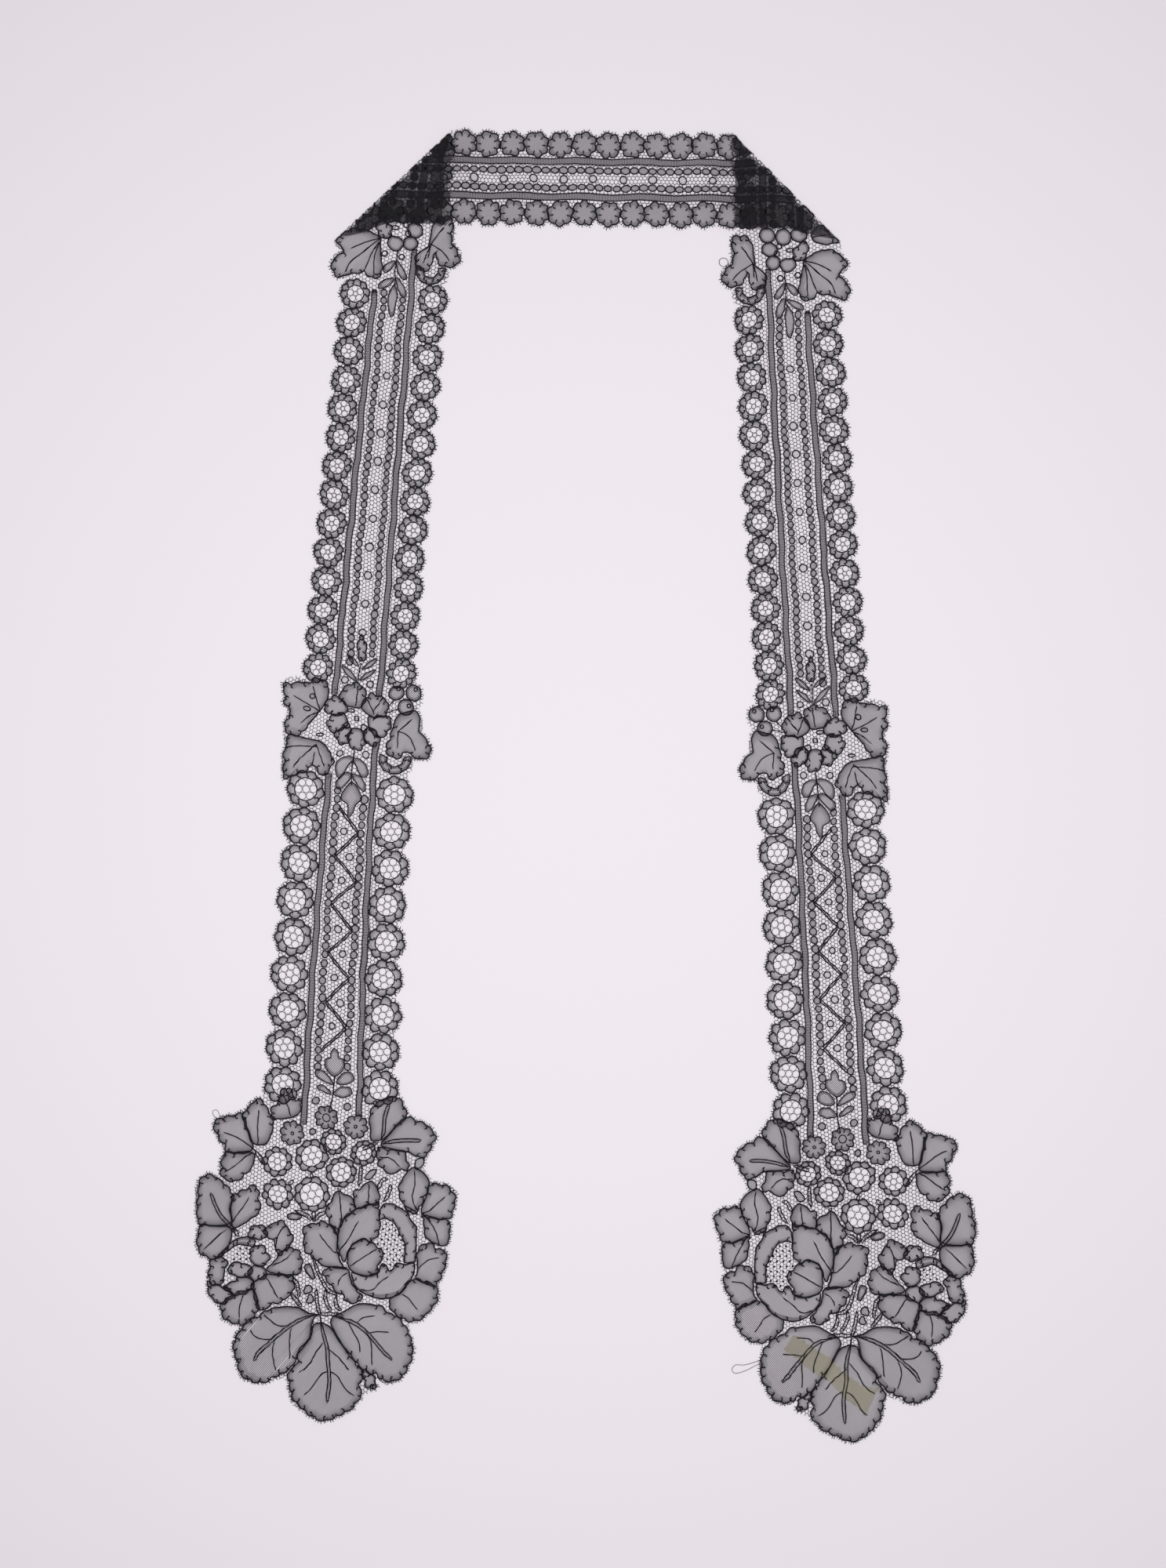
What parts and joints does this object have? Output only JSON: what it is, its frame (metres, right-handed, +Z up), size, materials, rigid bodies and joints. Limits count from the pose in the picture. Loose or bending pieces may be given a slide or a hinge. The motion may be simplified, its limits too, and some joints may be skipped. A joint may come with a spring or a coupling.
{
  "type": "lace lappet collar",
  "caption": "Long narrow black lace strip worn as a collar, laid flat with two folded corners, a neck band and two hanging ends that widen into leaf and rose lobes.",
  "frame": {"origin": "centre of the overall box on the surface that the lace lies on", "axes": "+Y from the hanging ends towards the neck band, +X to the right as seen from above, +Z up from the surface"},
  "size_m": [0.2992, 0.5021, 0.0023],
  "materials": {
    "lace": "matt black silk bobbin lace"
  },
  "bodies": {
    "root": {"left_lappet": "lace", "neck_band": "lace", "right_lappet": "lace"}
  },
  "joints": []
}
